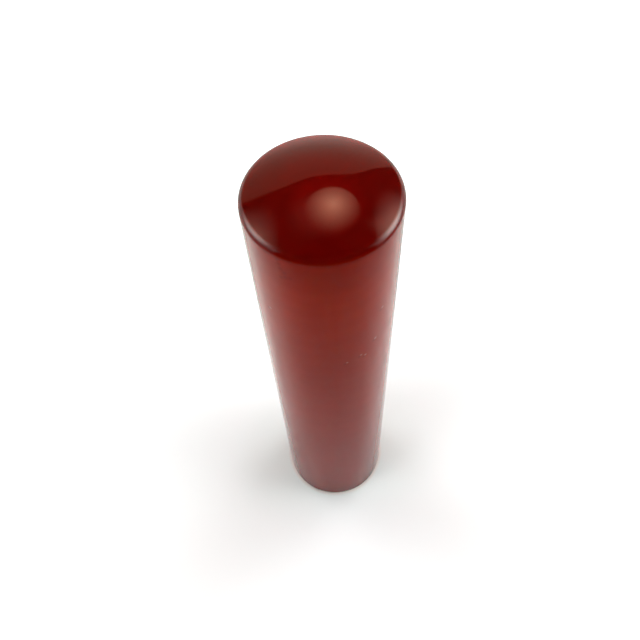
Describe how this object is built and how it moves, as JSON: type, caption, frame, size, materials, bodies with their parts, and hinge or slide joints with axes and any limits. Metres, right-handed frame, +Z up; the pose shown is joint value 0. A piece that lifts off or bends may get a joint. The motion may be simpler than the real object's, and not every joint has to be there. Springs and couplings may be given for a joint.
{
  "type": "seal stamp",
  "caption": "Round seal stamp: a straight polished stone bar with a shallow domed top, a softly rounded rim and a flat sealing face carved with a raised ring and lattice.",
  "frame": {"origin": "centre of the sealing face at the lower end, which is the face the stamp stands on", "axes": "+Z up along the bar's axis, from the sealing face to the crown of the dome; +X and +Y along the two main directions of the carved lattice"},
  "size_m": [0.0136, 0.0136, 0.06],
  "materials": {
    "agate": "polished, slightly translucent deep red agate"
  },
  "bodies": {
    "root": {"seal_stone": "agate"}
  },
  "joints": []
}
